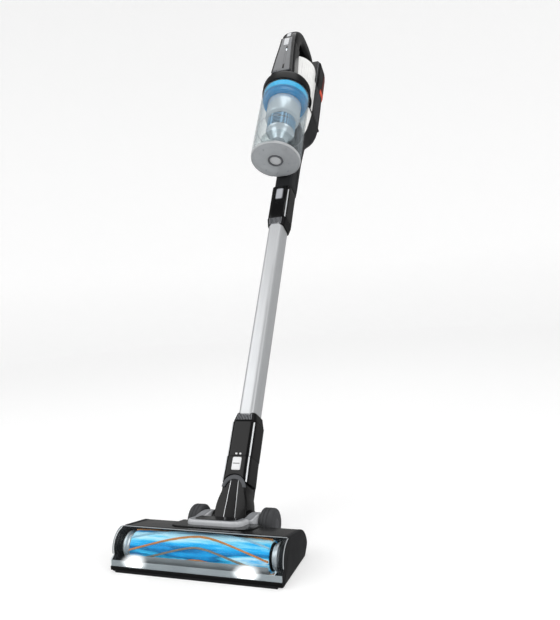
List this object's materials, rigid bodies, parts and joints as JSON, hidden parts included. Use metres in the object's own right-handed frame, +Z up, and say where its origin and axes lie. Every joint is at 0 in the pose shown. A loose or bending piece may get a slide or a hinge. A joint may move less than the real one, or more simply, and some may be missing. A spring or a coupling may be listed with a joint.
{
  "type": "cordless stick vacuum",
  "caption": "Upright cordless vacuum: lit floor head with a spinning brush, swivel neck, oval wand, and a hand unit with cyclone bin, loop handle and slide-on battery.",
  "frame": {"origin": "on the floor, on the flat underside of the floor head's sole plate, at the middle of the head's width and 75 mm behind its front edge", "axes": "+X to the right across the floor head, +Y backwards, away from the head's clear window, +Z up; the stick leans back from +Z towards +Y"},
  "size_m": [0.27, 0.8445, 1.0063],
  "materials": {
    "clear_pc": "clear moulded polycarbonate",
    "black_abs": "fine moulded texture",
    "gloss_black": "polished moulding",
    "dark_grey_abs": "satin moulding",
    "white_abs": "satin moulding",
    "silver_trim": "satin silver paint",
    "grey_panel": "satin grey paint",
    "button_grey": "smooth satin",
    "blue_translucent": "translucent tinted moulding",
    "brush_blue": "smooth moulding",
    "bristles": "nylon tufts",
    "tube_aluminium": "satin anodised",
    "steel": "turned",
    "tyre_rubber": "matt rubber",
    "seal_rubber": "soft matt",
    "frosted_pc": "frosted moulding",
    "lamp_lens": "frosted lens",
    "filter_media": "pleated paper",
    "board_green": "solder mask",
    "motor_steel": "pressed steel",
    "orange_panel": "smooth insert",
    "cell_wrap": "shrink wrap"
  },
  "bodies": {
    "hand_unit": {"duct_housing": "dark_grey_abs", "collar_deck": "black_abs", "white_shell": "white_abs", "cowl_left": "black_abs", "cowl_right": "black_abs", "handle_left": "gloss_black", "handle_right": "gloss_black", "front_panel": "grey_panel", "battery_dock": "black_abs", "suction_motor": "motor_steel", "control_board": "board_green", "exhaust_filter": "filter_media", "body_screws": "steel"},
    "fan": {"impeller": "motor_steel"},
    "power_switch": {"power_button": "button_grey"},
    "boost_switch": {"boost_button": "button_grey"},
    "bin_button": {"bin_release": "gloss_black"},
    "bin": {"bin_tube": "clear_pc", "bin_ring": "blue_translucent", "cyclone": "grey_panel", "cyclone_skirt": "clear_pc", "bin_seal": "seal_rubber", "door_pin": "steel"},
    "filter": {"pleated_filter": "filter_media"},
    "door": {"bin_door": "frosted_pc"},
    "door_catch": {"door_latch": "frosted_pc"},
    "battery": {"battery_case": "black_abs", "battery_panels": "orange_panel", "battery_cells": "cell_wrap"},
    "battery_catch": {"battery_button": "orange_panel"},
    "wand": {"wand_tube": "tube_aluminium", "wand_ferrules": "black_abs", "upper_connector": "gloss_black", "lower_connector": "gloss_black"},
    "wand_catch": {"wand_button": "button_grey"},
    "neck": {"latch_housing": "gloss_black"},
    "neck_catch": {"latch_button": "button_grey"},
    "yoke": {"neck_yoke": "gloss_black", "neck_arch": "grey_panel", "swivel_pin": "steel"},
    "head": {"head_housing": "black_abs", "clear_window": "clear_pc", "end_cap_right": "dark_grey_abs", "front_lip": "gloss_black", "sole_plate": "black_abs", "bezel": "silver_trim", "wheel_axle": "steel", "brush_bearings": "steel", "brush_motor": "motor_steel", "drive_belt": "seal_rubber", "lamp_lenses": "lamp_lens", "neck_hose": "seal_rubber", "head_screws": "steel"},
    "side_cap": {"end_cap_left": "dark_grey_abs"},
    "left_wheel": {"wheel_left": "tyre_rubber"},
    "right_wheel": {"wheel_right": "tyre_rubber"},
    "brush": {"brush_core": "brush_blue", "bristle_strips": "bristles"},
    "brush_drive": {"motor_pulley": "steel"}
  },
  "joints": [
    {"name": "wand_pull", "type": "slide", "parent": "hand_unit", "child": "wand", "axis": [0, -0.5446, -0.8387], "range_m": [0, 0.05]},
    {"name": "neck_pull", "type": "slide", "parent": "wand", "child": "neck", "axis": [0, -0.5446, -0.8387], "range_m": [0, 0.04]},
    {"name": "neck_swivel", "type": "hinge", "parent": "neck", "child": "yoke", "pos_m": [0, 0.09969, 0.0661], "axis": [0, 0.8387, -0.5446], "range_deg": [-25, 25]},
    {"name": "neck_pitch", "type": "hinge", "parent": "yoke", "child": "head", "pos_m": [0, 0.073, 0.025], "axis": [1, 0, 0], "range_deg": [-33, 45]},
    {"name": "left_wheel_spin", "type": "hinge", "parent": "head", "child": "left_wheel", "pos_m": [0, 0.073, 0.025], "axis": [1, 0, 0], "continuous": true},
    {"name": "right_wheel_spin", "type": "hinge", "parent": "head", "child": "right_wheel", "pos_m": [0, 0.073, 0.025], "axis": [1, 0, 0], "continuous": true},
    {"name": "brush_spin", "type": "hinge", "parent": "head", "child": "brush", "pos_m": [0, -0.038, 0.026], "axis": [1, 0, 0], "continuous": true},
    {"name": "motor_spin", "type": "hinge", "parent": "head", "child": "brush_drive", "pos_m": [0, 0.014, 0.022], "axis": [1, 0, 0], "continuous": true},
    {"name": "side_cap_pull", "type": "slide", "parent": "head", "child": "side_cap", "axis": [-1, 0, 0], "range_m": [0, 0.02]},
    {"name": "bin_pull", "type": "slide", "parent": "hand_unit", "child": "bin", "axis": [0, -0.8387, 0.5446], "range_m": [0, 0.11]},
    {"name": "filter_lift", "type": "slide", "parent": "bin", "child": "filter", "axis": [0, 0.5446, 0.8387], "range_m": [0, 0.02]},
    {"name": "door_swing", "type": "hinge", "parent": "bin", "child": "door", "pos_m": [0, 0.44946, 0.64141], "axis": [1, 0, 0], "range_deg": [0, 60]},
    {"name": "door_catch_slide", "type": "slide", "parent": "bin", "child": "door_catch", "axis": [0, 0.5446, 0.8387], "range_m": [0, 0.004], "stiffness_N_per_m": 300, "springref_m": -0.002},
    {"name": "battery_slide", "type": "slide", "parent": "hand_unit", "child": "battery", "axis": [0, 0.5446, 0.8387], "range_m": [0, 0.09]},
    {"name": "battery_catch_press", "type": "slide", "parent": "battery", "child": "battery_catch", "axis": [0, -0.8387, 0.5446], "range_m": [0, 0.0025], "stiffness_N_per_m": 300, "springref_m": -0.002},
    {"name": "power_press", "type": "slide", "parent": "hand_unit", "child": "power_switch", "axis": [0, 0.8387, -0.5446], "range_m": [0, 0.002], "stiffness_N_per_m": 300, "springref_m": -0.002},
    {"name": "boost_press", "type": "slide", "parent": "hand_unit", "child": "boost_switch", "axis": [0, 0.8387, -0.5446], "range_m": [0, 0.002], "stiffness_N_per_m": 300, "springref_m": -0.002},
    {"name": "bin_button_press", "type": "slide", "parent": "hand_unit", "child": "bin_button", "axis": [-1, 0, 0], "range_m": [0, 0.0018], "stiffness_N_per_m": 300, "springref_m": -0.002},
    {"name": "wand_catch_press", "type": "slide", "parent": "wand", "child": "wand_catch", "axis": [0, 0.8387, -0.5446], "range_m": [0, 0.002], "stiffness_N_per_m": 300, "springref_m": -0.002},
    {"name": "neck_catch_press", "type": "slide", "parent": "neck", "child": "neck_catch", "axis": [0, 0.8387, -0.5446], "range_m": [0, 0.0025], "stiffness_N_per_m": 300, "springref_m": -0.002},
    {"name": "fan_spin", "type": "hinge", "parent": "hand_unit", "child": "fan", "pos_m": [0, 0.56189, 0.84025], "axis": [0, 0.5446, 0.8387], "continuous": true}
  ],
  "couplings": [
    {"joint": "motor_spin", "follows": "brush_spin", "ratio": 1.8}
  ]
}
